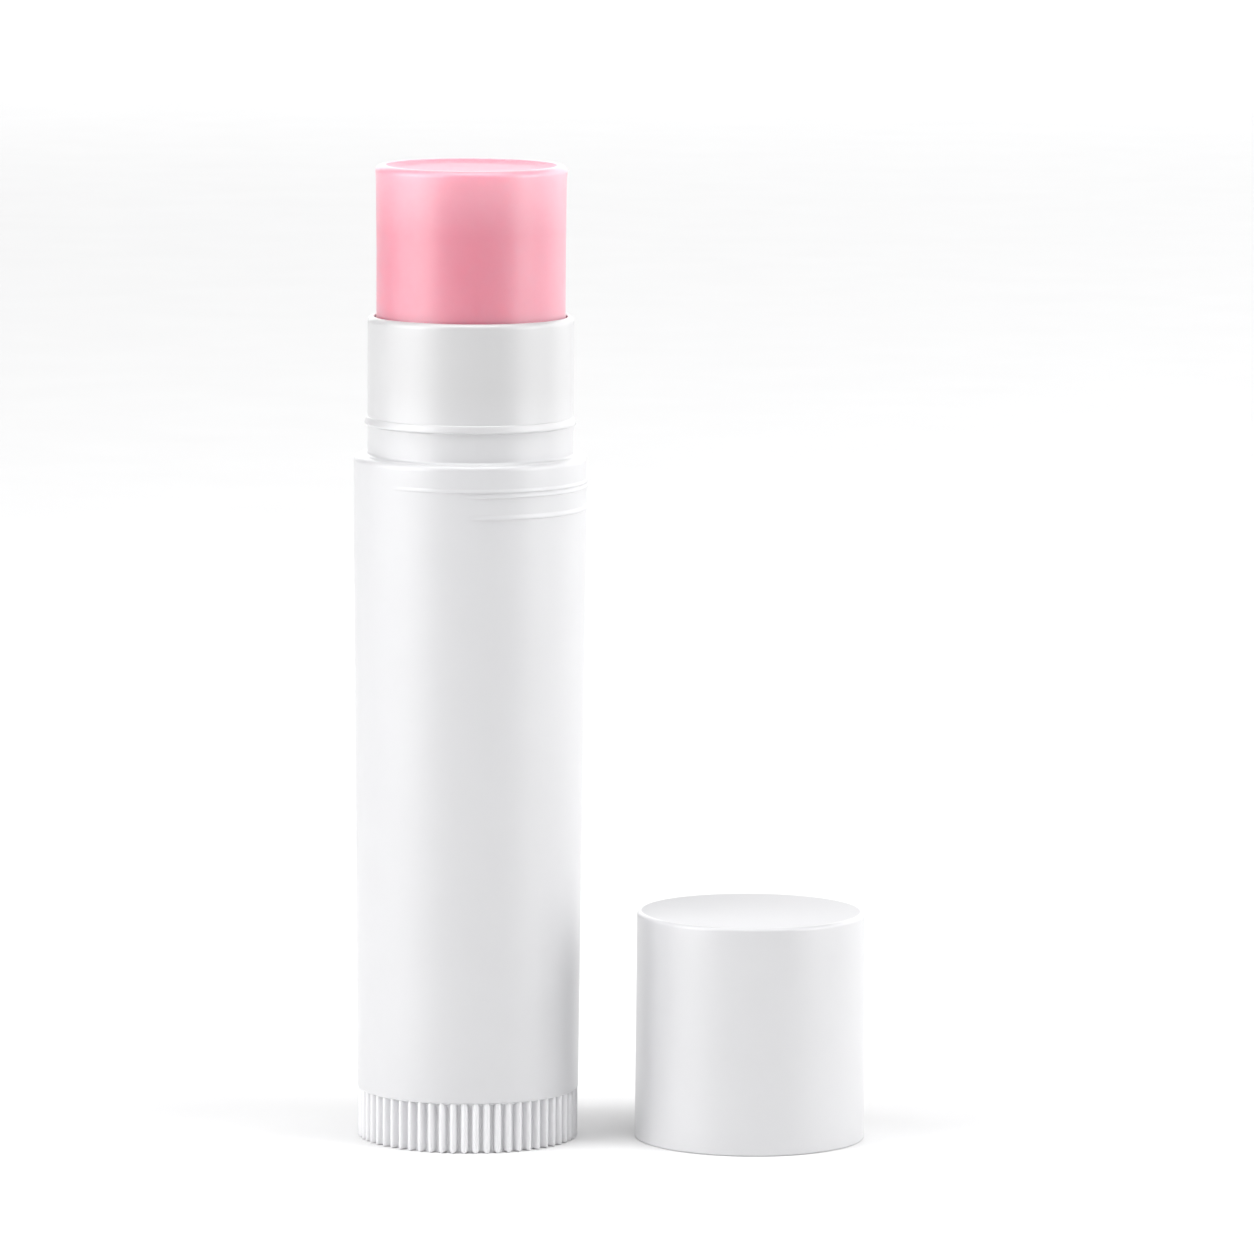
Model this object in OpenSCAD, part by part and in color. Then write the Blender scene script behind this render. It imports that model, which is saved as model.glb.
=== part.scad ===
// Twist-up lip balm stick, stood open with its cap beside it.
// Millimetres. +Z is up, and the origin is the centre of the dial's foot, on the stick's axis.
// The front of the stick faces -Y, and the cap stands at +X.

/* [Barrel] */
// Outside diameter of the barrel at its shoulder
barrel_top_d = 16.4; // [16.2:0.1:17]
// Outside diameter of the barrel at its lower edge, less by the moulding draft
barrel_bottom_d = 15.65; // [15.6:0.05:16]
// Length of the barrel from its lower edge to the shoulder
barrel_length = 45; // [44:1:55]
// Diameter of the bore that the balm slides in
bore_d = 13.6; // [13.5:0.05:13.7]

/* [Neck] */
// Outside diameter of the neck that the cap slides over
neck_d = 14.5; // [14.4:0.05:14.6]
// Length of the neck above the shoulder
neck_length = 9.8; // [9:0.1:11]
// How far the snap bead stands out of the neck
bead_proud = 0.15; // [0.1:0.01:0.17]
// Height of the snap bead's middle above the shoulder
bead_height = 2.6; // [2.3:0.1:3]

/* [Dial] */
// Height of the ribbed skirt
dial_height = 3.5; // [3.2:0.1:5]
// Number of grip ribs
grip_ribs = 60; // [40:2:60]
// Turns that the dial makes from the lowest balm to the highest
dial_turns = 9; // [6:1:9]

/* [Screw] */
// Rise of the balm in one turn of the dial
screw_lead = 4; // [3.5:0.5:4]
// Outside diameter of the thread
thread_d = 4.2; // [4:0.1:4.4]

/* [Balm] */
// Turns that the dial stands above its lowest place
shown_turns = 3; // [0:1:3]
// How far the balm's top lies below the rim when it is wound right down
balm_below_rim = 1.4; // [1:0.1:2]

/* [Cap] */
// Outside height of the cap
cap_height = 16.2; // [15:0.1:18]
// Outside diameter at the cap's mouth
cap_mouth_d = 16.26; // [16.1:0.02:16.3]
// Outside diameter at the cap's closed end, less by the moulding draft
cap_top_d = 16.1; // [15.9:0.05:16.1]
// Distance from the stick's axis to the cap's axis
cap_stand_x = 20; // [18:1:40]

/* [Hidden] */
$fn = 96;

shell_white = [0.95, 0.95, 0.96];
natural_white = [0.9, 0.9, 0.88];
balm_pink = [0.97, 0.66, 0.73];

// Levels up the stick
seam_gap = 0.1;
barrel_z = dial_height + seam_gap;
shoulder_z = barrel_z + barrel_length;
rim_z = shoulder_z + neck_length;

// Barrel, bore and neck
barrel_bottom_r = barrel_bottom_d / 2;
barrel_top_r = barrel_top_d / 2;
bore_r = bore_d / 2;
neck_r = neck_d / 2;
lower_edge_round = 0.15;
shoulder_round = 0.3;
neck_root_fillet = 0.18;
rim_round = 0.33;
bore_chamfer = 0.1;
bead_span = 1.05;
arc_steps = 6;

// Fine ridges part of the way round the barrel, just under the shoulder
ridge_proud = 0.08;
ridge_drops = [1.76, 2.12, 3.62];
ridge_rs = [0.17, 0.17, 0.4];
ridge_starts = [-120, -90, -90];
ridge_end = 70;

// Dial: skirt, plug in the barrel's lower end, snap ring, hub for the screw's foot
skirt_core_r = barrel_bottom_r - 0.42;
rib_r = 0.3;
rib_centre_r = barrel_bottom_r - 0.05 - rib_r;
rib_tip_r = rib_centre_r + rib_r;
rib_phase = 5.2;
rib_top_gap = 0.2;
rib_end_round = 0.3;
foot_r = 5.8;
foot_pad_r = 2.4;
foot_recess = 0.4;
dial_floor = 1.6;
plug_clearance = 0.1;
plug_r = bore_r - plug_clearance;
plug_wall = 1.05;
plug_length = 4.1;
plug_z = dial_height + plug_length;
snap_z = dial_height + 2.2;
snap_proud = 0.25;
snap_span = 0.9;
snap_groove_depth = 0.35;
snap_groove_span = 1.3;
hub_r = 3;
hub_z = plug_z - 1.1;
web_count = 4;
web_thickness = 0.9;
web_z = hub_z - 1;

// Elevator: floor, petals round the balm's foot, threaded boss
travel = dial_turns * screw_lead;
shown_rise = shown_turns * screw_lead;
elevator_lowest_z = plug_z + 0.3;
elevator_highest_z = elevator_lowest_z + travel;
elevator_z = elevator_lowest_z + shown_rise;
elevator_r = bore_r - 0.15;
elevator_floor = 1.1;
elevator_height = 5.5;
petal_wall = 0.7;
petal_gap = 3;
boss_r = 3.2;

// Guide ribs along the bore, which keep the elevator from turning
guide_count = 3;
guide_first = 90;
guide_width = 0.9;
guide_height = 0.45;
guide_foot_z = plug_z + 0.4;
guide_top_z = elevator_highest_z + 1.9;
guide_clearance = 0.12;

// Screw: hexagonal foot, collar, left-hand thread, tip
foot_fit = 0.03;
hex_r = 1.8;
hex_z = 2.1;
collar_r = 2.6;
collar_z = plug_z;
thread_r = thread_d / 2;
thread_root_r = thread_r - 0.6;
thread_z = collar_z - 0.1;
thread_top_z = elevator_highest_z + elevator_height + 1.2;
tip_r = 1.1;
tip_length = 0.9;
crest_half_angle = 25;
flank_half_angle = 70;
thread_steps_a_turn = 12;
thread_clearance = 0.18;
thread_side_clearance = 16;

// Balm: a cast stick with a blind bore round the screw and a groove for each guide rib
balm_rest_gap = 0.03;
balm_r = bore_r - 0.18;
balm_top_r = bore_r - 0.1;
balm_lip_r = bore_r - 0.06;
balm_lip_span = 0.9;
balm_edge_round = 0.4;
balm_dish = 0.14;
balm_dish_r = 5.4;
balm_top_z = rim_z - balm_below_rim + shown_rise;
balm_foot_z = elevator_z + elevator_floor + balm_rest_gap;
balm_bore_r = thread_r + 0.3;
balm_bore_top_z = thread_top_z + tip_length + 0.5 + shown_rise;
groove_top_z = guide_top_z + 0.2 + shown_rise;

// Cap
cap_mouth_r = cap_mouth_d / 2;
cap_top_r = cap_top_d / 2;
cap_bore_r = neck_r + 0.2;
cap_roof = 1.2;
cap_edge_round = 0.35;
cap_inner_fillet = 0.5;
cap_mouth_chamfer = 0.25;
cap_snap_z = 1.45;
cap_snap_proud = 0.13;
cap_snap_span = 0.8;

overlap = 0.3;

// Points of a round stretch, centre and radius given, from one angle to another
function arc(centre, r, from, to, steps = arc_steps) =
    [for (i = [0:steps]) let (a = from + (to - from) * i / steps) centre + r * [cos(a), sin(a)]];

// Points of a low half-round swelling on an upright line, bulging out by proud; up the line, or down it
function swelling(r, z, span, proud, up = 1, steps = arc_steps) =
    [for (i = [0:steps]) [r + proud * sin(180 * i / steps), z + up * span * (i / steps - 0.5)]];

// Radius of the barrel's drafted outside at a height
function barrel_r(z) =
    barrel_bottom_r + (barrel_top_r - barrel_bottom_r) * (z - barrel_z) / barrel_length;

// How far round the screw's left-hand thread has turned at a height
function thread_angle(z) = -360 * (z - thread_z) / screw_lead;

// Half outline of the barrel and neck, bore side last
module barrel_outline() {
    polygon(concat(
        [[bore_r + bore_chamfer, barrel_z]],
        arc([barrel_bottom_r - lower_edge_round, barrel_z + lower_edge_round], lower_edge_round, -90, 0),
        arc([barrel_top_r - shoulder_round, shoulder_z - shoulder_round], shoulder_round, 0, 90),
        arc([neck_r + neck_root_fillet, shoulder_z + neck_root_fillet], neck_root_fillet, -90, -180),
        swelling(neck_r, shoulder_z + bead_height, bead_span, bead_proud),
        arc([neck_r - rim_round, rim_z - rim_round], rim_round, 0, 90),
        [[bore_r + bore_chamfer, rim_z], [bore_r, rim_z - bore_chamfer]],
        swelling(bore_r, snap_z, snap_groove_span, snap_groove_depth, -1),
        [[bore_r, barrel_z + bore_chamfer]]
    ));
}

module guide_rib() {
    translate([bore_r - guide_height, -guide_width / 2, guide_foot_z])
        cube([guide_height + overlap, guide_width, guide_top_z - guide_foot_z]);
}

// One fine ridge, round the barrel from one angle to another
module fine_ridge(drop, r, start) {
    z = shoulder_z - drop;
    rotate([0, 0, start])
        rotate_extrude(angle = ridge_end - start)
            translate([barrel_r(z) + ridge_proud - r, z])
                circle(r = r, $fn = 32);
}

module barrel() {
    color(shell_white) {
        rotate_extrude()
            barrel_outline();
        for (i = [0:guide_count - 1])
            rotate([0, 0, guide_first + 360 * i / guide_count])
                guide_rib();
        for (i = [0:len(ridge_drops) - 1])
            fine_ridge(ridge_drops[i], ridge_rs[i], ridge_starts[i]);
    }
}

// Ribs all round the skirt, seen from above
module grip_outline() {
    circle(r = skirt_core_r);
    for (i = [0:grip_ribs - 1])
        rotate(rib_phase + 360 * i / grip_ribs)
            translate([rib_centre_r, 0])
                circle(r = rib_r, $fn = 24);
}

// Half outline that rounds the ribs' ends and holds the skirt's core
module grip_envelope() {
    rib_top_z = dial_height - rib_top_gap;
    polygon(concat(
        [[0, 0]],
        arc([rib_tip_r - rib_end_round, rib_end_round], rib_end_round, -90, 0),
        arc([rib_tip_r - rib_end_round, rib_top_z - rib_end_round], rib_end_round, 0, 90),
        [[skirt_core_r, rib_top_z], [skirt_core_r, dial_height], [0, dial_height]]
    ));
}

// Half outline of the plug that snaps into the barrel's lower end
module plug_outline() {
    polygon(concat(
        [[0, dial_height - overlap], [plug_r, dial_height - overlap]],
        swelling(plug_r, snap_z, snap_span, snap_proud),
        [[plug_r, plug_z - overlap], [plug_r - overlap, plug_z], [0, plug_z]]
    ));
}

module hub_webs() {
    length = plug_r - plug_wall - hub_r + 2 * overlap;
    for (i = [0:web_count - 1])
        rotate([0, 0, 45 + 360 * i / web_count])
            translate([hub_r - overlap, -web_thickness / 2, dial_floor - overlap])
                cube([length, web_thickness, web_z - dial_floor + overlap]);
}

module dial() {
    color(shell_white) {
        difference() {
            union() {
                intersection() {
                    linear_extrude(height = dial_height)
                        grip_outline();
                    rotate_extrude()
                        grip_envelope();
                }
                rotate_extrude()
                    plug_outline();
            }
            difference() {
                translate([0, 0, -1])
                    cylinder(r = foot_r, h = foot_recess + 1);
                cylinder(r = foot_pad_r, h = foot_recess);
            }
            translate([0, 0, dial_floor])
                cylinder(r = plug_r - plug_wall, h = plug_z);
        }
        difference() {
            union() {
                translate([0, 0, dial_floor - overlap])
                    cylinder(r = hub_r, h = hub_z - dial_floor + overlap);
                hub_webs();
            }
            translate([0, 0, hex_z - foot_fit])
                cylinder(r = hex_r + foot_fit, h = hub_z, $fn = 6);
        }
    }
}

// Cross-section of the single-start thread, grown all round by a clearance for the nut
module thread_section(grow = 0, widen = 0) {
    crest = crest_half_angle + widen;
    flank = flank_half_angle + widen;
    root_span = 360 - 2 * flank;
    root_steps = 7;
    crest_r = thread_r + grow;
    root_r = thread_root_r + grow;
    middle = (crest + flank) / 2;
    middle_r = (crest_r + root_r) / 2;
    corners = concat(
        [[-middle, middle_r], [-crest, crest_r], [0, crest_r], [crest, crest_r], [middle, middle_r]],
        [for (i = [0:root_steps]) [flank + root_span * i / root_steps, root_r]]
    );
    polygon([for (c = corners) c[1] * [cos(c[0]), sin(c[0])]]);
}

// A stretch of the left-hand thread between two heights, in step with the screw
module thread(from, to, grow = 0, widen = 0) {
    height = to - from;
    translate([0, 0, from])
        rotate([0, 0, thread_angle(from)])
            linear_extrude(
                height = height,
                twist = 360 * height / screw_lead,
                slices = ceil(thread_steps_a_turn * height / screw_lead),
                $fn = 12
            )
                thread_section(grow, widen);
}

module feed_screw() {
    color(natural_white) {
        translate([0, 0, hex_z])
            cylinder(r = hex_r, h = hub_z - hex_z + overlap, $fn = 6);
        translate([0, 0, hub_z])
            cylinder(r = collar_r, h = collar_z - hub_z);
        thread(thread_z, thread_top_z);
        translate([0, 0, thread_top_z - overlap])
            cylinder(r = tip_r, h = tip_length + overlap);
    }
}

// Cuts across the bore that clear the guide ribs
module guide_notches(from_r, width, z, height) {
    for (i = [0:guide_count - 1])
        rotate([0, 0, guide_first + 360 * i / guide_count])
            translate([from_r, -width / 2, z])
                cube([bore_r, width, height]);
}

module elevator() {
    rib_side_r = bore_r - guide_height - guide_clearance;
    petal_r = elevator_r - petal_wall;
    color(natural_white)
        difference() {
            translate([0, 0, elevator_z])
                cylinder(r = elevator_r, h = elevator_height);
            difference() {
                translate([0, 0, elevator_z + elevator_floor])
                    cylinder(r = petal_r, h = elevator_height);
                translate([0, 0, elevator_z])
                    cylinder(r = boss_r, h = elevator_height);
            }
            guide_notches(petal_r - overlap, petal_gap, elevator_z + elevator_floor, elevator_height);
            guide_notches(rib_side_r, guide_width + 2 * guide_clearance, elevator_z - 1, elevator_height);
            thread(
                elevator_z - overlap, elevator_z + elevator_height + overlap,
                thread_clearance, thread_side_clearance
            );
        }
}

// Half outline of the balm stick, from its foot inside the petals to its dished top
module balm_outline() {
    petal_r = elevator_r - petal_wall - balm_rest_gap;
    petal_top_z = elevator_z + elevator_height + balm_rest_gap;
    lip_z = balm_top_z - balm_edge_round - balm_lip_span / 2;
    polygon(concat(
        [[0, balm_foot_z], [petal_r, balm_foot_z], [petal_r, petal_top_z], [balm_r, petal_top_z]],
        [[balm_r, balm_top_z - 10.5], [balm_top_r, lip_z - balm_lip_span / 2]],
        arc([balm_lip_r - balm_edge_round, balm_top_z - balm_edge_round], balm_edge_round, 0, 90),
        [[balm_dish_r, balm_top_z - balm_dish / 3], [balm_dish_r / 2, balm_top_z - balm_dish]],
        [[0, balm_top_z - balm_dish]]
    ));
}

module balm() {
    boss_fit_r = boss_r + balm_rest_gap;
    boss_top_z = elevator_z + elevator_height + balm_rest_gap;
    color(balm_pink)
        difference() {
            rotate_extrude()
                balm_outline();
            translate([0, 0, balm_foot_z - 1])
                cylinder(r = boss_fit_r, h = boss_top_z - balm_foot_z + 1);
            translate([0, 0, balm_foot_z])
                cylinder(r = balm_bore_r, h = balm_bore_top_z - balm_foot_z);
            guide_notches(
                bore_r - guide_height - guide_clearance, guide_width + 2 * guide_clearance,
                balm_foot_z - 1, groove_top_z - balm_foot_z + 1
            );
        }
}

// Half outline of the cap's shell, mouth down, from its mouth round to its roof's underside
module cap_outline() {
    roof_z = cap_height - cap_roof;
    polygon(concat(
        [[cap_bore_r + cap_mouth_chamfer, 0]],
        arc([cap_mouth_r - lower_edge_round, lower_edge_round], lower_edge_round, -90, 0),
        arc([cap_top_r - cap_edge_round, cap_height - cap_edge_round], cap_edge_round, 0, 90),
        [[0, cap_height], [0, roof_z]],
        arc([cap_bore_r - cap_inner_fillet, roof_z - cap_inner_fillet], cap_inner_fillet, 90, 0),
        swelling(cap_bore_r, cap_snap_z, cap_snap_span, -cap_snap_proud, -1),
        [[cap_bore_r, cap_mouth_chamfer]]
    ));
}

module cap() {
    color(shell_white)
        translate([cap_stand_x, 0, 0])
            rotate_extrude()
                cap_outline();
}

barrel();
dial();
feed_screw();
elevator();
balm();
cap();
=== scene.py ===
"""Twist-up lip balm stick, wound out, its cap stood beside it: the finished surfaces of every piece."""
import math

import bpy
from mathutils import Matrix, Vector


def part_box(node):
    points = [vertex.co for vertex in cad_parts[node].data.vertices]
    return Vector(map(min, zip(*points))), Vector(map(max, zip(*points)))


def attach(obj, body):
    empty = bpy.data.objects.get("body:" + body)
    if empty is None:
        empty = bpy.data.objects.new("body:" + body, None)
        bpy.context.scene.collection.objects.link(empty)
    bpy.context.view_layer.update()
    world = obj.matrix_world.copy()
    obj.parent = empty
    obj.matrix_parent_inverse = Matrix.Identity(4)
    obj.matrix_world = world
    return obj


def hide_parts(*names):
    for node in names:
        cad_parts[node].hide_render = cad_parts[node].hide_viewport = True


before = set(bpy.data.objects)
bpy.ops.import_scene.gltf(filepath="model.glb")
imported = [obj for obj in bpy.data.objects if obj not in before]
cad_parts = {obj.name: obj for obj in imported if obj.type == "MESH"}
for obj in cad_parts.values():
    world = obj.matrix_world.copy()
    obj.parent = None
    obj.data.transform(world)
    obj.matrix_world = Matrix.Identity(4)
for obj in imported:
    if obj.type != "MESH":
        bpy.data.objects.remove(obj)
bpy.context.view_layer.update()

# The view: a long lens, square to the stick's front and a little above it.
# The picture's middle falls between the stick and its cap.
MM = 0.001
PICTURE_WIDTH = 88.5 * MM
CAMERA_DISTANCE = 0.63
CAMERA_RISE = math.radians(7.2)
CAMERA_ROLL = math.radians(0.35)
SENSOR_WIDTH = 36.0
PICTURE_MIDDLE = Vector((11.1 * MM, 0, 36.4 * MM))

camera_data = bpy.data.cameras.new("camera")
camera_data.sensor_width = SENSOR_WIDTH
camera_data.lens = SENSOR_WIDTH * CAMERA_DISTANCE / PICTURE_WIDTH
camera_data.clip_start = 0.05
camera_data.clip_end = 20.0
camera = bpy.data.objects.new("camera", camera_data)
bpy.context.collection.objects.link(camera)
stand_off = Vector((0, -math.cos(CAMERA_RISE), math.sin(CAMERA_RISE))) * CAMERA_DISTANCE
camera.matrix_world = (
    Matrix.Translation(PICTURE_MIDDLE + stand_off)
    @ Matrix.Rotation(math.pi / 2 - CAMERA_RISE, 4, "X")
    @ Matrix.Rotation(CAMERA_ROLL, 4, "Z")
)
bpy.context.scene.camera = camera
bpy.context.scene.view_settings.view_transform = "Standard"

# The studio: a sheet of pale paper and large soft boxes round it, two at the left and three at the
# right, which leave the stick's middle a little darker than its sides. A wide box overhead, one
# behind and a broad overhead light keep the paper white up to the stick's foot.
FLOOR_WIDTH = 8.0
PAPER_DIM = (0.825, 0.825, 0.827, 1)
PAPER_PALE = (0.855, 0.855, 0.857, 1)
ROOM_TINT = (0.99, 0.99, 1, 1)
BRIGHT_SIDE = (0.99, 0, 0.1)
ROOM_DIM = 0.0
ROOM_BRIGHT = 0.02
LIT_POINT = (0, 0, 0.03)
SIDE_BOX = (0.6, 0.7)
# Each soft box: where it stands, its width and height, and its watts
SOFT_BOXES = {
    "left_soft_box": ((-0.823, -0.514, 0.34), SIDE_BOX, 5.2),
    "left_side_soft_box": ((-0.966, -0.085, 0.34), SIDE_BOX, 3.4),
    "right_soft_box": ((0.911, -0.332, 0.34), SIDE_BOX, 4.8),
    "right_side_soft_box": ((0.937, 0.251, 0.34), SIDE_BOX, 2.0),
    "right_back_soft_box": ((0.743, 0.624, 0.34), SIDE_BOX, 2.3),
    "top_soft_box": ((0, -0.3, 0.95), (1.6, 0.4), 6.6),
    "back_soft_box": ((0, 1.5, 0.55), (1.8, 1.0), 11.3),
}
OVERHEAD_STRENGTH = 0.88
OVERHEAD_SPREAD = math.radians(60)
OVERHEAD_PLACE = (0, 0, 2)


def deselect_all():
    bpy.ops.object.select_all(action="DESELECT")


def new_nodes(tree):
    """Empty a node tree and give short ways to add a node to it and to join two sockets."""
    tree.nodes.clear()

    def add(kind, label="", **settings):
        node = tree.nodes.new(kind)
        node.label = label
        for name, value in settings.items():
            setattr(node, name, value)
        return node

    return add, tree.links.new


deselect_all()
bpy.ops.mesh.primitive_plane_add(size=FLOOR_WIDTH, location=(0, 0, 0))
floor = bpy.context.object
floor.name = "floor"
paper = bpy.data.materials.new("floor_paper")
paper.use_nodes = True
add, join = new_nodes(paper.node_tree)
paper_shader = add("ShaderNodeBsdfPrincipled")
paper_fibres = add("ShaderNodeTexNoise")
paper_fibres.inputs["Scale"].default_value = 60
paper_fibres.inputs["Detail"].default_value = 3
paper_colour = add("ShaderNodeValToRGB")
paper_colour.color_ramp.elements[0].color = PAPER_DIM
paper_colour.color_ramp.elements[1].color = PAPER_PALE
paper_shader.inputs["Roughness"].default_value = 0.85
paper_shader.inputs["Specular IOR Level"].default_value = 0.2
paper_place = add("ShaderNodeTexCoord")
join(paper_place.outputs["Object"], paper_fibres.inputs["Vector"])
join(paper_fibres.outputs["Fac"], paper_colour.inputs["Fac"])
join(paper_colour.outputs["Color"], paper_shader.inputs["Base Color"])
join(paper_shader.outputs["BSDF"], add("ShaderNodeOutputMaterial").inputs["Surface"])
floor.data.materials.append(paper)

room = bpy.data.worlds.new("room")
room.use_nodes = True
add, join = new_nodes(room.node_tree)
room_light = add("ShaderNodeBackground")
room_light.inputs["Color"].default_value = ROOM_TINT
room_place = add("ShaderNodeTexCoord")
room_side = add("ShaderNodeVectorMath", "towards the bright side", operation="DOT_PRODUCT")
room_side.inputs[1].default_value = BRIGHT_SIDE
room_fall = add("ShaderNodeMapRange", "from dim to bright side", interpolation_type="SMOOTHSTEP")
room_fall.inputs["To Min"].default_value = ROOM_DIM
room_fall.inputs["To Max"].default_value = ROOM_BRIGHT
join(room_place.outputs["Generated"], room_side.inputs[0])
join(room_side.outputs["Value"], room_fall.inputs["Value"])
join(room_fall.outputs["Result"], room_light.inputs["Strength"])
join(room_light.outputs["Background"], add("ShaderNodeOutputWorld").inputs["Surface"])
bpy.context.scene.world = room


def soft_box(name, place, size, watts):
    """A box of soft light, turned to the stick and unseen itself."""
    data = bpy.data.lights.new(name, "AREA")
    data.shape = "RECTANGLE"
    data.size, data.size_y = size
    data.energy = watts
    lamp = bpy.data.objects.new(name, data)
    lamp.location = place
    lamp.rotation_euler = (Vector(LIT_POINT) - Vector(place)).to_track_quat("-Z", "Y").to_euler()
    lamp.visible_camera = False
    bpy.context.collection.objects.link(lamp)


for name, (place, size, watts) in SOFT_BOXES.items():
    soft_box(name, place, size, watts)
overhead_data = bpy.data.lights.new("overhead_light", "SUN")
overhead_data.energy = OVERHEAD_STRENGTH
overhead_data.angle = OVERHEAD_SPREAD
overhead = bpy.data.objects.new("overhead_light", overhead_data)
overhead.location = OVERHEAD_PLACE
bpy.context.collection.objects.link(overhead)

# The barrel: one white polypropylene moulding, barrel, shoulder and neck together. It is drafted
# towards its lower end, where the dial snaps in. A bead for the cap runs round its neck, its thinnest
# wall, whose colour is painted greyer up from the shoulder as painted shade.
BARREL_SIDES = 360
NECK_R = 7.25 * MM
BORE_R = 6.8 * MM
BARREL_TOP_R = 8.2 * MM
BARREL_FOOT_R = 7.825 * MM
NECK_LENGTH = 9.8 * MM
BEAD_HEIGHT = 2.6 * MM
# The bead, a ramp with a steep underside, from below: height over BEAD_HEIGHT, how far it stands out
BEAD = [
    (-0.56 * MM, 0), (-0.5 * MM, 0.004 * MM), (-0.47 * MM, 0.05 * MM), (-0.45 * MM, 0.1 * MM),
    (-0.42 * MM, 0.15 * MM), (-0.38 * MM, 0.182 * MM), (-0.33 * MM, 0.19 * MM), (-0.27 * MM, 0.176 * MM),
    (-0.17 * MM, 0.146 * MM), (-0.05 * MM, 0.105 * MM), (0.05 * MM, 0.067 * MM), (0.1 * MM, 0.042 * MM),
    (0.13 * MM, 0.006 * MM), (0.19 * MM, 0),
]
SHOULDER_ROUND = 0.33 * MM
SHOULDER_TALL = 1.3
NECK_FILLET = 0.22 * MM
RIM_ROUND = 0.34 * MM
RIM_TALL = 1.4
RIM_INNER_ROUND = 0.1 * MM
FOOT_ROUND = 0.04 * MM
SNAP_GROOVE_RISE = 2.1 * MM
SNAP_GROOVE_SPAN = 1.3 * MM
SNAP_GROOVE_DEPTH = 0.33 * MM
GUIDES = 3
FIRST_GUIDE = 90
GUIDE_WIDTH = 0.9 * MM
GUIDE_HEIGHT = 0.45 * MM
GUIDE_FOOT_RISE = 4.4 * MM
GUIDE_TOP_DROP = 2.8 * MM
WALL_ROW_GAP = 4 * MM
# Rows of points lie this far above and below a place where an upright wall changes
ROW_MARGIN = 0.06 * MM
# Points closer than this are one point, in one row, or on one wall
SAME_POINT = 0.0005 * MM
SAME_ROW = 0.001 * MM
SAME_WALL = 0.01 * MM
# Three faint ridges go part of the way round, just under the shoulder. Each: drop below the shoulder,
# height, how far it stands out, the angle where it starts, and the angle over which it fades in
RIDGES = [
    (1.76 * MM, 0.3 * MM, 0.078 * MM, -132, 40),
    (2.12 * MM, 0.3 * MM, 0.078 * MM, -92, 8),
    (3.62 * MM, 0.38 * MM, 0.085 * MM, -93, 12),
]
RIDGE_END = 75
RIDGE_FADE_OUT = 20
# Height of a ridge's crest over its foot, and the rows of points over it from its middle, as shares
RIDGE_CREST = 0.3
RIDGE_ROWS = [-0.58, -0.5, -0.42, -0.33, -0.2, -0.08, 0.06, 0.2, 0.35, 0.5, 0.56]

barrel_low, barrel_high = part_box("barrel")
shoulder_z = barrel_high[2] - NECK_LENGTH


def arc(centre_r, centre_z, radius, start, end, steps=8, tall=1):
    """Points of a round stretch of an outline between two angles in degrees, oval if tall isn't one."""
    angles = [math.radians(start + (end - start) * i / steps) for i in range(steps + 1)]
    return [(centre_r + radius * math.cos(a), centre_z + radius * tall * math.sin(a)) for a in angles]


def swell(radius, middle_z, span, proud, up=1, steps=14):
    """Points of a low round bead on a straight wall, or of a groove in it if proud is negative."""
    bulge_r = (span * span / 4 + proud * proud) / (2 * abs(proud))
    half_angle = math.asin(span / 2 / bulge_r)
    points = []
    for i in range(steps + 1):
        angle = half_angle * (2 * i / steps - 1)
        out = bulge_r * (math.cos(angle) - math.cos(half_angle))
        points.append((radius + math.copysign(out, proud), middle_z + up * bulge_r * math.sin(angle)))
    return points


def straight(start, end, steps):
    """Points between two points of an outline, with its end and without its start."""
    return [
        (start[0] + (end[0] - start[0]) * i / steps, start[1] + (end[1] - start[1]) * i / steps)
        for i in range(1, steps + 1)
    ]


def turned(name, outline, sides):
    """Raise a circle up an outline of (radius, height) points, and close it into one skin."""
    deselect_all()
    radius, height = outline[0]
    ring_shaped = outline[0] == outline[-1]
    bpy.ops.mesh.primitive_circle_add(
        vertices=sides, radius=radius, location=(0, 0, height),
        fill_type="NOTHING" if ring_shaped else "NGON",
    )
    piece = bpy.context.object
    piece.name = name
    piece.data.name = name
    bpy.ops.object.transform_apply()
    bpy.ops.object.mode_set(mode="EDIT")
    bpy.ops.mesh.select_all(action="SELECT")
    bpy.ops.mesh.select_mode(type="EDGE")
    if not ring_shaped:
        bpy.ops.mesh.region_to_loop()
    for next_radius, next_height in outline[1:]:
        bpy.ops.mesh.extrude_edges_move(TRANSFORM_OT_translate={"value": (0, 0, next_height - height)})
        grow = next_radius / radius
        bpy.ops.transform.resize(value=(grow, grow, 1), center_override=(0, 0, next_height))
        radius, height = next_radius, next_height
    if not ring_shaped:
        bpy.ops.mesh.edge_face_add()
    bpy.ops.mesh.select_mode(type="VERT")
    bpy.ops.mesh.select_all(action="SELECT")
    bpy.ops.mesh.remove_doubles(threshold=SAME_POINT)
    bpy.ops.mesh.normals_make_consistent(inside=False)
    bpy.ops.object.mode_set(mode="OBJECT")
    return piece


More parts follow.
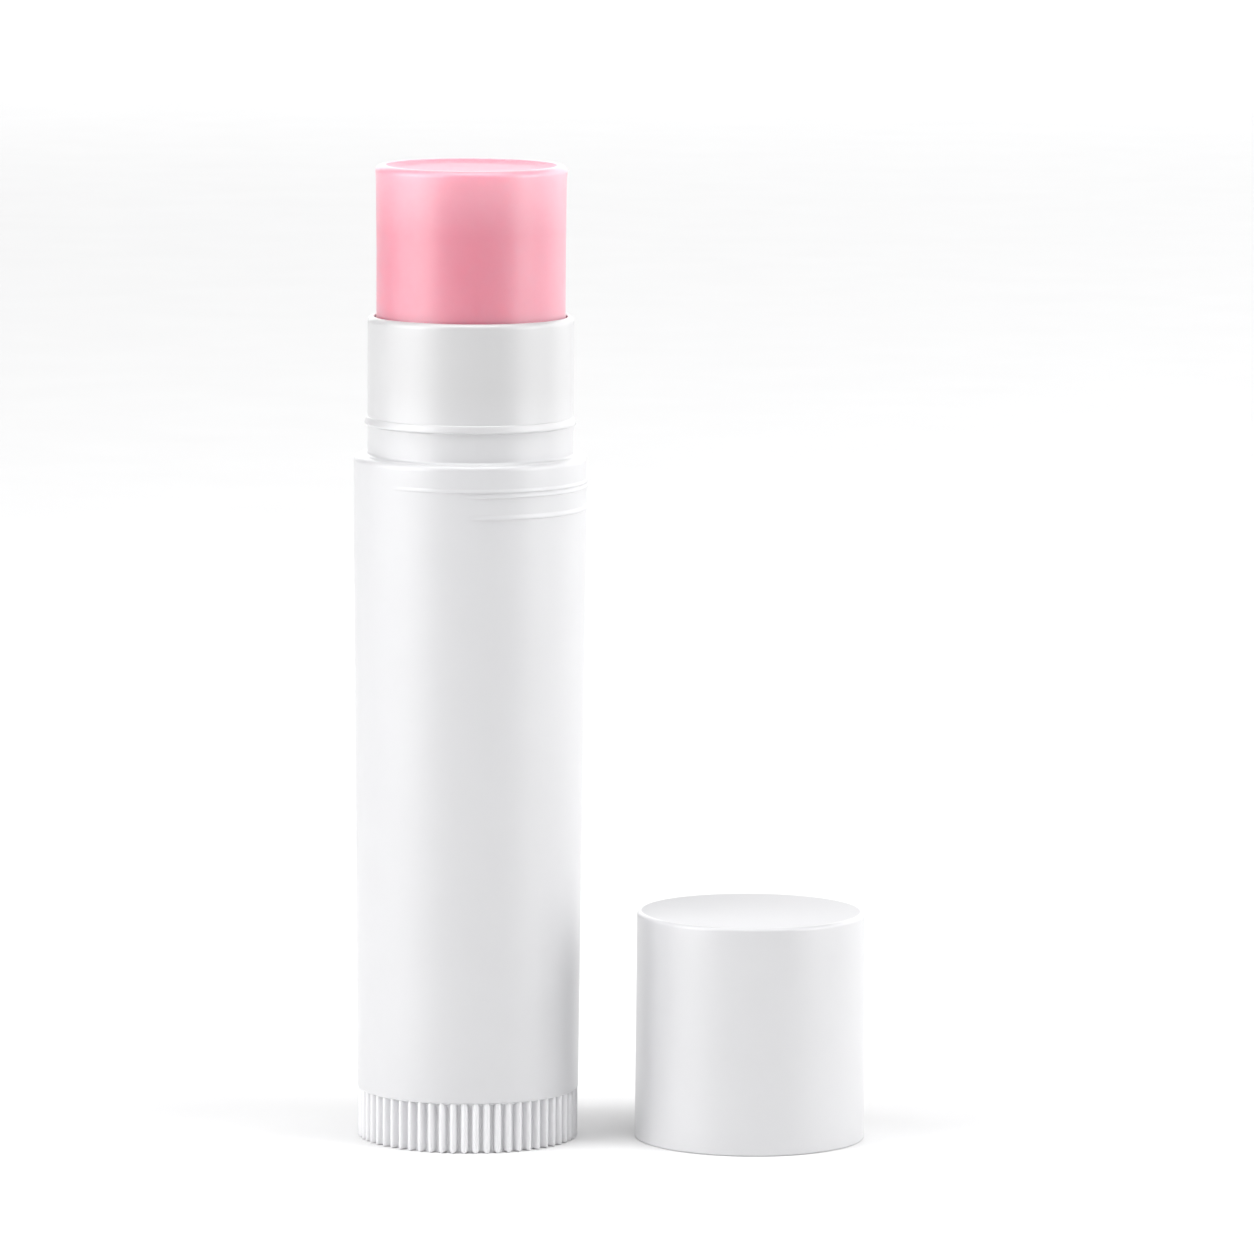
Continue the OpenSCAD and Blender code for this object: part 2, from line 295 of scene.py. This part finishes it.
def raised(piece, name, height, share_at, direction="NORMAL", texture=None):
    """Press a surface out by a height, times a share that depends on angle, radius and level."""
    group = piece.vertex_groups.new(name=name)
    for vertex in piece.data.vertices:
        x, y, z = vertex.co
        share = share_at(math.degrees(math.atan2(y, x)), math.hypot(x, y), z)
        if share > 0:
            group.add([vertex.index], min(share, 1), "REPLACE")
    press = piece.modifiers.new(name, "DISPLACE")
    press.vertex_group = name
    press.direction = direction
    press.mid_level = 0 if texture is None else 0.5
    press.texture = texture
    press.texture_coords = "LOCAL"
    press.strength = height
    bpy.context.view_layer.objects.active = piece
    bpy.ops.object.modifier_apply(modifier=press.name)
    piece.vertex_groups.remove(piece.vertex_groups[name])


def squeezed(piece, factor, chosen):
    """Scale the chosen vertices towards the stick's axis, or away from it, as an edit by hand would."""
    deselect_all()
    bpy.context.view_layer.objects.active = piece
    bpy.ops.object.mode_set(mode="EDIT")
    bpy.ops.mesh.select_all(action="DESELECT")
    bpy.ops.object.mode_set(mode="OBJECT")
    for vertex in piece.data.vertices:
        x, y, z = vertex.co
        vertex.select = chosen(math.degrees(math.atan2(y, x)), math.hypot(x, y), z)
    bpy.ops.object.mode_set(mode="EDIT")
    bpy.ops.transform.resize(value=(factor, factor, 1), center_override=(0, 0, 0))
    bpy.ops.object.mode_set(mode="OBJECT")


def smooth(piece, angle):
    """Shade a piece smooth, apart from edges sharper than an angle in degrees."""
    deselect_all()
    piece.select_set(True)
    bpy.context.view_layer.objects.active = piece
    bpy.ops.object.shade_smooth_by_angle(angle=math.radians(angle))


def barrel_r(z):
    """Radius of the drafted outside of the barrel at a height."""
    up = (z - barrel_low[2]) / (shoulder_z - barrel_low[2])
    return BARREL_FOOT_R + (BARREL_TOP_R - BARREL_FOOT_R) * up


def up_the_wall(heights):
    """Points of the drafted outside at some heights."""
    return [(barrel_r(z), z) for z in heights]


ridge_levels = sorted(shoulder_z - drop + tall * row for drop, tall, *_ in RIDGES for row in RIDGE_ROWS)
ridge_proud = max(proud for _, _, proud, *_ in RIDGES)
wall_levels = [barrel_low[2] + FOOT_ROUND + WALL_ROW_GAP * i for i in range(1, 10)]
bead_z = shoulder_z + BEAD_HEIGHT
rim_z = barrel_high[2]
guide_foot_z = barrel_low[2] + GUIDE_FOOT_RISE
guide_top_z = shoulder_z - GUIDE_TOP_DROP
snap_groove_z = barrel_low[2] + SNAP_GROOVE_RISE

barrel_outline = (
    arc(BARREL_FOOT_R - FOOT_ROUND, barrel_low[2] + FOOT_ROUND, FOOT_ROUND, -90, 0)
    + up_the_wall(wall_levels)
    + up_the_wall(ridge_levels)
    + arc(
        BARREL_TOP_R - SHOULDER_ROUND, shoulder_z - SHOULDER_ROUND * SHOULDER_TALL, SHOULDER_ROUND,
        0, 90, 10, SHOULDER_TALL,
    )
    + arc(NECK_R + NECK_FILLET, shoulder_z + NECK_FILLET, NECK_FILLET, -90, -180)
    + [(NECK_R + proud, bead_z + up) for up, proud in BEAD]
    + [(NECK_R, (bead_z + rim_z) / 2)]
    + arc(NECK_R - RIM_ROUND, rim_z - RIM_ROUND * RIM_TALL, RIM_ROUND, 0, 90, 12, RIM_TALL)
    + arc(BORE_R + RIM_INNER_ROUND, rim_z - RIM_INNER_ROUND, RIM_INNER_ROUND, 90, 180, 4)
    + [(BORE_R, guide_top_z + ROW_MARGIN), (BORE_R, guide_top_z - ROW_MARGIN)]
    + [(BORE_R, guide_foot_z + ROW_MARGIN), (BORE_R, guide_foot_z - ROW_MARGIN)]
    + swell(BORE_R, snap_groove_z, SNAP_GROOVE_SPAN, SNAP_GROOVE_DEPTH, -1)
    + [(BORE_R, barrel_low[2] + FOOT_ROUND), (BORE_R + FOOT_ROUND, barrel_low[2])]
)
barrel = turned("barrel_moulding", barrel_outline + barrel_outline[:1], BARREL_SIDES)


def ridge_share(angle, radius, z):
    """Height of the ridges on the barrel's outside, as a share of the tallest."""
    share = 0
    for drop, tall, proud, start, fade in RIDGES:
        up = (z - (shoulder_z - drop)) / tall + 0.5
        if radius > NECK_R + SHOULDER_ROUND and 0 < up < 1 and start < angle < RIDGE_END:
            slope = up / RIDGE_CREST if up < RIDGE_CREST else (1 - up) / (1 - RIDGE_CREST)
            fade_in = min(1, (angle - start) / fade)
            fade_out = min(1, (RIDGE_END - angle) / RIDGE_FADE_OUT)
            share += proud / ridge_proud * math.sin(math.pi / 2 * slope) * fade_in * fade_out
    return share


def off_guide(angle, radius):
    """Distance round a circle from the middle of the nearest guide rib."""
    off = (angle - FIRST_GUIDE + 180 / GUIDES) % (360 / GUIDES) - 180 / GUIDES
    return abs(math.radians(off)) * radius


def on_guide(angle, radius, z):
    in_bore = abs(radius - BORE_R) < SAME_WALL and guide_foot_z < z < guide_top_z
    return in_bore and off_guide(angle, BORE_R) < GUIDE_WIDTH / 2


raised(barrel, "ridges", ridge_proud, ridge_share)
squeezed(barrel, (BORE_R - GUIDE_HEIGHT) / BORE_R, on_guide)
smooth(barrel, angle=38)

SHELL_WHITE = (0.642, 0.642, 0.655, 1)
SHELL_WHITE_DEEP = (0.63, 0.63, 0.643, 1)
# Painted shade: the neck's colour is darkened more and more up from the shoulder
NECK_PAINTED_SHADE = (0.912, 0.91, 0.902, 1)
NECK_PAINTED_SHADE_START = 0.1 * MM
NECK_PAINTED_SHADE_END = 5 * MM
SHELL_ROUGHNESS = 0.36
SHELL_SURFACE = {"peel_scale": 9000, "flow_scale": 180, "peel_depth": 0.0006 * MM}
SHELL_DEPTH = {
    "Subsurface Weight": 0.12,
    "Subsurface Radius": (1.0, 0.9, 0.95),
    "Subsurface Scale": 0.6 * MM,
}
SHELL_SHINE = {"IOR": 1.49, "Coat Weight": 0.9, "Coat Roughness": 0.38, "Coat IOR": 1.7}


def group_socket(group, name, kind, into=True, value=None):
    """Give a node group a named input, or an output if it isn't into the group."""
    socket = group.interface.new_socket(name=name, in_out="INPUT" if into else "OUTPUT", socket_type=kind)
    if value is not None:
        socket.default_value = value


# Moulded skin: what a steel mould leaves on plastic, a fine orange peel, faint flow mottling, and a
# gloss that varies a little from place to place.
moulded_skin = bpy.data.node_groups.new("moulded_skin", "ShaderNodeTree")
group_socket(moulded_skin, "Vector", "NodeSocketVector")
group_socket(moulded_skin, "Peel Scale", "NodeSocketFloat", value=SHELL_SURFACE["peel_scale"])
group_socket(moulded_skin, "Flow Scale", "NodeSocketFloat", value=SHELL_SURFACE["flow_scale"])
group_socket(moulded_skin, "Mean Roughness", "NodeSocketFloat", value=SHELL_ROUGHNESS)
group_socket(moulded_skin, "Roughness Spread", "NodeSocketFloat", value=0.06)
for name in ("Flow", "Roughness", "Height"):
    group_socket(moulded_skin, name, "NodeSocketFloat", into=False)
add, join = new_nodes(moulded_skin)
skin_in = add("NodeGroupInput")
skin_out = add("NodeGroupOutput")
peel = add("ShaderNodeTexNoise", "orange peel")
peel.inputs["Detail"].default_value = 2
flow = add("ShaderNodeTexNoise", "flow mottling")
flow.inputs["Detail"].default_value = 4
flow.inputs["Roughness"].default_value = 0.6
flow.inputs["Distortion"].default_value = 0.4
flow_shift = add("ShaderNodeMath", "flow about zero", operation="SUBTRACT")
flow_shift.inputs[1].default_value = 0.5
roughness = add("ShaderNodeMath", "roughness over the surface", operation="MULTIPLY_ADD")
join(skin_in.outputs["Vector"], peel.inputs["Vector"])
join(skin_in.outputs["Peel Scale"], peel.inputs["Scale"])
join(skin_in.outputs["Vector"], flow.inputs["Vector"])
join(skin_in.outputs["Flow Scale"], flow.inputs["Scale"])
join(flow.outputs["Fac"], flow_shift.inputs[0])
join(flow_shift.outputs["Value"], roughness.inputs[0])
join(skin_in.outputs["Roughness Spread"], roughness.inputs[1])
join(skin_in.outputs["Mean Roughness"], roughness.inputs[2])
join(flow.outputs["Fac"], skin_out.inputs["Flow"])
join(roughness.outputs["Value"], skin_out.inputs["Roughness"])
join(peel.outputs["Fac"], skin_out.inputs["Height"])


def skinned(name, light, deep, roughness, peel_scale, flow_scale, peel_depth, shader_values, shade=None):
    """
    A moulded or cast material: two close colours mixed by the flow marks, and a fine peel on the surface.
    shade is two levels and a colour, a painted shade by which the material is darkened more and more
    from the first level to the second.
    """
    material = bpy.data.materials.new(name)
    material.use_nodes = True
    add, join = new_nodes(material.node_tree)
    place = add("ShaderNodeTexCoord")
    mapping = add("ShaderNodeMapping")
    skin = add("ShaderNodeGroup", node_tree=moulded_skin)
    skin.inputs["Peel Scale"].default_value = peel_scale
    skin.inputs["Flow Scale"].default_value = flow_scale
    skin.inputs["Mean Roughness"].default_value = roughness
    colour = add("ShaderNodeValToRGB", "flow colour")
    colour.color_ramp.elements[0].position = 0.3
    colour.color_ramp.elements[0].color = deep
    colour.color_ramp.elements[1].position = 0.7
    colour.color_ramp.elements[1].color = light
    bump = add("ShaderNodeBump")
    bump.inputs["Distance"].default_value = peel_depth
    shader = add("ShaderNodeBsdfPrincipled")
    for socket, value in shader_values.items():
        shader.inputs[socket].default_value = value
    join(place.outputs["Object"], mapping.inputs["Vector"])
    join(mapping.outputs["Vector"], skin.inputs["Vector"])
    join(skin.outputs["Flow"], colour.inputs["Fac"])
    if shade is None:
        join(colour.outputs["Color"], shader.inputs["Base Color"])
    else:
        level = add("ShaderNodeSeparateXYZ")
        shade_share = add("ShaderNodeMapRange", "share of the shade")
        shade_share.inputs["From Min"].default_value = shade[0]
        shade_share.inputs["From Max"].default_value = shade[1]
        shaded = add("ShaderNodeMix", "shaded colour", data_type="RGBA", blend_type="MULTIPLY")
        shaded.inputs[7].default_value = shade[2]
        join(mapping.outputs["Vector"], level.inputs["Vector"])
        join(level.outputs["Z"], shade_share.inputs["Value"])
        join(shade_share.outputs["Result"], shaded.inputs[0])
        join(colour.outputs["Color"], shaded.inputs[6])
        join(shaded.outputs[2], shader.inputs["Base Color"])
    join(skin.outputs["Roughness"], shader.inputs["Roughness"])
    join(skin.outputs["Height"], bump.inputs["Height"])
    join(bump.outputs["Normal"], shader.inputs["Normal"])
    join(shader.outputs["BSDF"], add("ShaderNodeOutputMaterial").inputs["Surface"])
    return material


shell_plastic = skinned(
    "shell_plastic", SHELL_WHITE, SHELL_WHITE_DEEP, SHELL_ROUGHNESS, **SHELL_SURFACE,
    shader_values={**SHELL_DEPTH, **SHELL_SHINE},
    shade=(shoulder_z + NECK_PAINTED_SHADE_START, shoulder_z + NECK_PAINTED_SHADE_END, NECK_PAINTED_SHADE),
)
barrel.data.materials.append(shell_plastic)
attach(barrel, "barrel")
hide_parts("barrel")

# The dial: a second polypropylene moulding, its colour painted whiter than the barrel's as painted
# light against the shade round the stick's foot. Its ribbed skirt is turned by the fingers, and its
# hollow plug, with a snap ring round it, turns in the barrel's lower end. The screw's hub stands in the
# plug, held by webs.
GRIP_RIBS = 60
COLUMNS_A_RIB = 16
RIB_PHASE = 5.2
RIB_WIDTH = 0.57 * MM
# A rib's rounded end: its length, the rib's width at its tip as a share, and the rows of points over it
RIB_END = 0.26 * MM
RIB_END_WIDTH = 0.5
RIB_END_ROWS = [0, 0.03 * MM, 0.06 * MM, 0.1 * MM, 0.14 * MM, 0.19 * MM, RIB_END]
RIB_END_GAP = 0.005 * MM
SKIRT_TOP = 3.592 * MM
SKIRT_CORE_R = 7.34 * MM
RIB_TIP_R = 7.785 * MM
COLLAR_R = 7.74 * MM
COLLAR_HEIGHT = 0.05 * MM
COLLAR_EDGE = 0.01 * MM
COLLAR_FILLET = 0.24 * MM
SKIRT_FOOT_ROUND = 0.03 * MM
PLUG_R = 6.7 * MM
PLUG_WALL = 1.05 * MM
PLUG_TOP = 7.6 * MM
SNAP_RING_Z = 5.7 * MM
SNAP_RING_SPAN = 0.9 * MM
SNAP_RING_PROUD = 0.25 * MM
DIAL_FLOOR = 1.6 * MM
HUB_R = 3.0 * MM
HUB_TOP = 6.5 * MM
SOCKET_R = 1.83 * MM
SOCKET_FLOOR = 2.07 * MM
SOCKET_DEPTH = 4.6 * MM
SOCKET_TURN = math.radians(30)
WEBS = 4
FIRST_WEB = 45
WEB_THICKNESS = 0.9 * MM
WEB_FOOT = 1.4 * MM
WEB_TOP = 5.5 * MM
FOOT_RING_R = 5.8 * MM
FOOT_PAD_R = 2.4 * MM
FOOT_RECESS = 0.4 * MM
EDGE = 0.12 * MM

rib_rise = RIB_TIP_R - SKIRT_CORE_R
collar_z = SKIRT_TOP - COLLAR_HEIGHT
rib_foot_z = SKIRT_FOOT_ROUND + RIB_END_GAP
rib_head_z = collar_z - RIB_END_GAP
rib_rows = [rib_foot_z + row for row in RIB_END_ROWS]
rib_rows += [z for _, z in straight((0, rib_rows[-1]), (0, rib_head_z - RIB_END), 3)]
rib_rows += [rib_head_z - row for row in RIB_END_ROWS[-2::-1]]
dial_outline = (
    [(FOOT_PAD_R - EDGE, 0), (FOOT_PAD_R, EDGE), (FOOT_PAD_R, FOOT_RECESS - EDGE)]
    + [(FOOT_PAD_R + EDGE, FOOT_RECESS), (FOOT_RING_R - EDGE, FOOT_RECESS)]
    + [(FOOT_RING_R, FOOT_RECESS - EDGE), (FOOT_RING_R, EDGE), (FOOT_RING_R + EDGE, 0)]
    + arc(SKIRT_CORE_R - SKIRT_FOOT_ROUND, SKIRT_FOOT_ROUND, SKIRT_FOOT_ROUND, -90, 0, 6)
    + [(SKIRT_CORE_R, z) for z in rib_rows + [collar_z]]
    + [(COLLAR_R, collar_z + COLLAR_EDGE), (COLLAR_R, SKIRT_TOP - COLLAR_EDGE)]
    + [(COLLAR_R - COLLAR_EDGE, SKIRT_TOP), (PLUG_R, SKIRT_TOP)]
    + swell(PLUG_R, SNAP_RING_Z, SNAP_RING_SPAN, SNAP_RING_PROUD)
    + [(PLUG_R, PLUG_TOP - EDGE * 2), (PLUG_R - EDGE * 2, PLUG_TOP)]
    + [(PLUG_R - PLUG_WALL + EDGE, PLUG_TOP), (PLUG_R - PLUG_WALL, PLUG_TOP - EDGE)]
    + [(PLUG_R - PLUG_WALL, DIAL_FLOOR + EDGE), (PLUG_R - PLUG_WALL - EDGE, DIAL_FLOOR)]
    + [(HUB_R + EDGE, DIAL_FLOOR), (HUB_R, DIAL_FLOOR + EDGE), (HUB_R, HUB_TOP - EDGE)]
    + [(HUB_R - EDGE, HUB_TOP), (SOCKET_R / 3, HUB_TOP)]
)
dial = turned("dial_moulding", dial_outline, GRIP_RIBS * COLUMNS_A_RIB)


def rib_share(angle, radius, z):
    """
    Height of the ribs over the skirt's core, as a share of a full rib's. They are half-round and
    narrow towards their ends, and a fillet joins them all to the collar at the skirt's top.
    """
    on_core = abs(radius - SKIRT_CORE_R) < SAME_WALL
    if not on_core or not rib_foot_z - SAME_ROW < z < rib_head_z + SAME_ROW:
        return 0
    pitch = 360 / GRIP_RIBS
    off = (angle - RIB_PHASE + pitch / 2) % pitch - pitch / 2
    across = math.radians(off) * RIB_TIP_R
    beyond = max(rib_foot_z + RIB_END - z, z - (rib_head_z - RIB_END), 0) / RIB_END
    half_width = RIB_WIDTH / 2 * math.sqrt(1 - (1 - RIB_END_WIDTH ** 2) * beyond ** 2)
    left = 1 - (across / half_width) ** 2
    fillet = max(1 - (rib_head_z - z) / COLLAR_FILLET, 0) ** 2 * (COLLAR_R - SKIRT_CORE_R) / rib_rise
    return max(math.sqrt(max(left, 0)), fillet)


def under_collar(angle, radius, z):
    return abs(z - collar_z) < SAME_ROW and abs(radius - SKIRT_CORE_R) < SAME_WALL


raised(dial, "ribs", rib_rise, rib_share)
squeezed(dial, COLLAR_R / SKIRT_CORE_R, under_collar)


def carved(piece, tool, operation):
    """Join a second body to a piece, or cut it away, and drop the body."""
    cut = piece.modifiers.new(tool.name, "BOOLEAN")
    cut.operation = operation
    cut.solver = "EXACT"
    cut.object = tool
    deselect_all()
    piece.select_set(True)
    bpy.context.view_layer.objects.active = piece
    bpy.ops.object.modifier_apply(modifier=cut.name)
    bpy.data.objects.remove(tool)


web_bite = HUB_R / 4
web_length = PLUG_R - PLUG_WALL / 2 - HUB_R + web_bite
web_middle_r = HUB_R - web_bite + web_length / 2
web_middle_z = (WEB_TOP + WEB_FOOT) / 2
for number in range(WEBS):
    turn = math.radians(FIRST_WEB + 360 * number / WEBS)
    deselect_all()
    bpy.ops.mesh.primitive_cube_add(
        size=1, location=(web_middle_r * math.cos(turn), web_middle_r * math.sin(turn), web_middle_z),
        rotation=(0, 0, turn), scale=(web_length, WEB_THICKNESS, WEB_TOP - WEB_FOOT),
    )
    web = bpy.context.object
    web.name = "web"
    carved(dial, web, "UNION")
deselect_all()
bpy.ops.mesh.primitive_cylinder_add(
    vertices=6, radius=SOCKET_R, depth=SOCKET_DEPTH * 2, location=(0, 0, SOCKET_FLOOR + SOCKET_DEPTH),
    rotation=(0, 0, SOCKET_TURN),
)
socket = bpy.context.object
socket.name = "socket"
carved(dial, socket, "DIFFERENCE")
smooth(dial, angle=45)

# Painted light: the dial's white is paler than the barrel's, against the shade round its foot
DIAL_PAINTED_LIGHT_WHITE = (0.78, 0.78, 0.795, 1)
DIAL_PAINTED_LIGHT_WHITE_DEEP = (0.765, 0.765, 0.78, 1)
dial_plastic = skinned(
    "dial_plastic", DIAL_PAINTED_LIGHT_WHITE, DIAL_PAINTED_LIGHT_WHITE_DEEP, SHELL_ROUGHNESS, **SHELL_SURFACE,
    shader_values={**SHELL_DEPTH, **SHELL_SHINE},
)
dial.data.materials.append(dial_plastic)
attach(dial, "dial")
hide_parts("dial")

# The feed screw: a natural polypropylene moulding with a left-hand thread. Its hexagonal foot is
# pressed into the dial's hub, so that it turns with the dial.
INNER_WHITE = (0.8, 0.8, 0.775, 1)
INNER_WHITE_DEEP = (0.74, 0.74, 0.71, 1)
inner_plastic = skinned(
    "inner_plastic", INNER_WHITE, INNER_WHITE_DEEP, roughness=0.48, peel_scale=5000, flow_scale=240,
    peel_depth=0.002 * MM,
    shader_values={
        "IOR": 1.49,
        "Subsurface Weight": 0.3,
        "Subsurface Radius": (1.0, 1.0, 0.9),
        "Subsurface Scale": 0.8 * MM,
    },
)


def repaint(node, material):
    """Give a CAD node that stays a material of its own."""
    node.data.materials.clear()
    node.data.materials.append(material)


repaint(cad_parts["feed_screw"], inner_plastic)

# The elevator: a threaded carrier in the same natural plastic. Its petals hold the balm's foot, and
# notches in its edge run on the barrel's guide ribs.
repaint(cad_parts["elevator"], inner_plastic)

# The balm: pink wax, cast in the barrel round the screw. It shrinks a little as it sets, so that its
# sides stand off the bore and its top dishes inside a soft lip, with faint pour marks. Its colour is
# painted pale at the top and darker down its body: painted light falling in from above.
BALM_SIDES = 360
BALM_R = 6.65 * MM
BALM_FULL_R = 6.74 * MM
BALM_TOP_R = 6.7 * MM
BALM_LIP_R = 6.74 * MM
BALM_FLARE_DROP = 6.0 * MM
BALM_LIP_SPAN = 0.6 * MM
BALM_EDGE_ROUND = 0.48 * MM
BALM_DISH_R = 6.0 * MM
BALM_DISH = 0.28 * MM
# The dish's round edge, and the rings of points over it, close together there, as shares of its radius
DISH_EDGE = 1 / 6
DISH_RINGS = [1.0, 0.985, 0.965, 0.94, 0.91, 0.87] + [0.82 - 0.06 * i for i in range(14)]
BALM_FOOT_R = 5.92 * MM
BALM_FOOT_LENGTH = 4.43 * MM
BALM_BORE_R = 2.4 * MM
BALM_BORE_ROOF = 5.0 * MM
GROOVE_WIDTH = 1.14 * MM
GROOVE_DEPTH = 0.48 * MM
GROOVE_DROP = 11.0 * MM
WAVE_HEIGHT = 0.12 * MM
WAVE_FADE = 1.2 * MM
BOSS_R = 3.23 * MM

balm_low, balm_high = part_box("balm")
balm_top_z = balm_high[2]
lip_z = balm_top_z - BALM_EDGE_ROUND
foot_end_z = balm_low[2] + BALM_FOOT_LENGTH
groove_top_z = balm_top_z - GROOVE_DROP
flare_z = balm_top_z - BALM_FLARE_DROP


def dish_z(share):
    """Height of the dish at a share of its radius: a round edge down to a flat bottom."""
    return balm_top_z - BALM_DISH * math.sin(min(1, (1 - share) / DISH_EDGE) * math.pi / 2)


balm_outline = (
    [(BALM_BORE_R, balm_top_z - BALM_BORE_ROOF), (BALM_BORE_R, foot_end_z)]
    + [(BOSS_R, foot_end_z), (BOSS_R, balm_low[2])]
    + [(BALM_FOOT_R, balm_low[2]), (BALM_FOOT_R, foot_end_z), (BALM_FULL_R - EDGE, foot_end_z)]
    + [(BALM_FULL_R, foot_end_z + EDGE)]
    + straight((BALM_FULL_R, foot_end_z + EDGE), (BALM_FULL_R, groove_top_z - EDGE / 4), 12)
    + [(BALM_FULL_R, groove_top_z + EDGE / 4), (BALM_R, rim_z), (BALM_R, rim_z + ROW_MARGIN)]
    + straight((BALM_R, rim_z + ROW_MARGIN), (BALM_R, flare_z), 5)
    + straight((BALM_R, flare_z), (BALM_TOP_R, lip_z - BALM_LIP_SPAN), 10)
    + arc(BALM_LIP_R - BALM_EDGE_ROUND, lip_z, BALM_EDGE_ROUND, 0, 90, 10)
    + [(BALM_DISH_R * share, dish_z(share)) for share in DISH_RINGS]
)
balm = turned("balm_stick", balm_outline, BALM_SIDES)


def on_groove(angle, radius, z):
    on_side = radius > BALM_FOOT_R + EDGE and foot_end_z - EDGE / 2 < z < groove_top_z
    return on_side and off_guide(angle, BALM_FULL_R) < GROOVE_WIDTH / 2


def in_dish(radius, z):
    return z > lip_z and radius < BALM_DISH_R


def dish_share(angle, radius, z):
    """One over the dish, and less towards its lip."""
    return min(1, (BALM_DISH_R - radius) / WAVE_FADE) if in_dish(radius, z) else 0


squeezed(balm, (BALM_FULL_R - GROOVE_DEPTH) / BALM_FULL_R, on_groove)
pour_waves = bpy.data.textures.new("pour_waves", "CLOUDS")
pour_waves.noise_scale = 2.6 * MM
pour_waves.noise_depth = 1
raised(balm, "waves", WAVE_HEIGHT, dish_share, "Z", pour_waves)
smooth(balm, angle=50)

# Painted light: the wax's colour is pale at the top and painted darker down its body
BALM_PAINTED_PALE_PINK = (0.81, 0.385, 0.475, 1)
BALM_PAINTED_PALE_PINK_DEEP = (0.79, 0.36, 0.45, 1)
BALM_PAINTED_BODY_SHADE = (0.885, 0.62, 0.675, 1)
BALM_PAINTED_SHADE_START = 0.4 * MM
BALM_PAINTED_SHADE_END = 4.6 * MM
WAX_SURFACE = {"peel_scale": 2600, "flow_scale": 300, "peel_depth": 0.002 * MM}
WAX_DEPTH = {"Subsurface Weight": 0.9, "Subsurface Radius": (1.0, 0.42, 0.45), "Subsurface Scale": 2 * MM}
WAX_SHINE = {"IOR": 1.45, "Coat Weight": 1.0, "Coat Roughness": 0.36, "Coat IOR": 1.8}
DULL_WAX_SHINE = {"IOR": 1.4, "Specular IOR Level": 0.5}
balm_wax = skinned(
    "balm_wax", BALM_PAINTED_PALE_PINK, BALM_PAINTED_PALE_PINK_DEEP, roughness=0.45, **WAX_SURFACE,
    shader_values={**WAX_DEPTH, **WAX_SHINE},
    shade=(balm_top_z - BALM_PAINTED_SHADE_START, balm_top_z - BALM_PAINTED_SHADE_END, BALM_PAINTED_BODY_SHADE),
)
balm_top_wax = skinned(
    "balm_top_wax", BALM_PAINTED_PALE_PINK, BALM_PAINTED_PALE_PINK_DEEP, roughness=0.5, **WAX_SURFACE,
    shader_values={**WAX_DEPTH, **DULL_WAX_SHINE},
)


def finished(piece, material, top_material, is_top):
    """Give a piece its material, and another on the faces of its top, chosen by radius and height."""
    piece.data.materials.append(material)
    piece.data.materials.append(top_material)
    for face in piece.data.polygons:
        if is_top(math.hypot(face.center.x, face.center.y), face.center.z):
            face.material_index = 1


finished(balm, balm_wax, balm_top_wax, in_dish)
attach(balm, "elevator")
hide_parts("balm")

# The cap: the third white moulding, stood on its mouth beside the stick. A bead inside its mouth
# snaps under the one on the neck. Its side carries on the barrel's line, its edges are crisp, and its
# flat top is duller than its side.
CAP_SIDES = 288
CAP_TOP_R = 8.05 * MM
CAP_MOUTH_R = 8.13 * MM
CAP_BORE_R = 7.45 * MM
CAP_ROOF = 1.2 * MM
CAP_EDGE_ROUND = 0.3 * MM
CAP_MOUTH_ROUND = 0.15 * MM
CAP_MOUTH_CHAMFER = 0.21 * MM
CAP_INNER_FILLET = 0.5 * MM
CAP_BEAD_Z = 1.45 * MM
CAP_BEAD_SPAN = 0.8 * MM
CAP_BEAD_PROUD = 0.13 * MM
CAP_ROOF_POLE_R = 0.3 * MM
CAP_TOP_RINGS = [0.8, 0.6, 0.4, 0.2, 0.05]

cap_low, cap_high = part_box("cap")
cap_x = (cap_low[0] + cap_high[0]) / 2
cap_top_z = cap_high[2]
roof_z = cap_top_z - CAP_ROOF
cap_outline = (
    [(CAP_ROOF_POLE_R, roof_z)]
    + arc(CAP_BORE_R - CAP_INNER_FILLET, roof_z - CAP_INNER_FILLET, CAP_INNER_FILLET, 90, 0)
    + straight((CAP_BORE_R, roof_z - CAP_INNER_FILLET), (CAP_BORE_R, CAP_BEAD_Z + CAP_BEAD_SPAN), 5)
    + swell(CAP_BORE_R, CAP_BEAD_Z, CAP_BEAD_SPAN, -CAP_BEAD_PROUD, -1)
    + [(CAP_BORE_R, CAP_MOUTH_CHAMFER), (CAP_BORE_R + CAP_MOUTH_ROUND, 0)]
    + arc(CAP_MOUTH_R - CAP_MOUTH_ROUND, CAP_MOUTH_ROUND, CAP_MOUTH_ROUND, -90, 0)
    + straight((CAP_MOUTH_R, CAP_MOUTH_ROUND), (CAP_TOP_R, cap_top_z - CAP_EDGE_ROUND), 8)[:-1]
    + arc(CAP_TOP_R - CAP_EDGE_ROUND, cap_top_z - CAP_EDGE_ROUND, CAP_EDGE_ROUND, 0, 90)
    + [(CAP_TOP_R * share, cap_top_z) for share in CAP_TOP_RINGS]
)
cap = turned("cap_moulding", cap_outline, CAP_SIDES)
bpy.ops.object.mode_set(mode="EDIT")
bpy.ops.mesh.select_all(action="SELECT")
bpy.ops.transform.translate(value=(cap_x, 0, 0))
bpy.ops.object.mode_set(mode="OBJECT")
smooth(cap, angle=38)

cap_top_plastic = skinned(
    "cap_top_plastic", SHELL_WHITE, SHELL_WHITE_DEEP, roughness=0.6, **SHELL_SURFACE,
    shader_values={**SHELL_DEPTH, "IOR": 1.4},
)


def on_cap_top(radius, z):
    return z > cap_top_z - SAME_ROW


finished(cap, shell_plastic, cap_top_plastic, on_cap_top)
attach(cap, "cap")
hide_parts("cap")

bpy.context.view_layer.update()
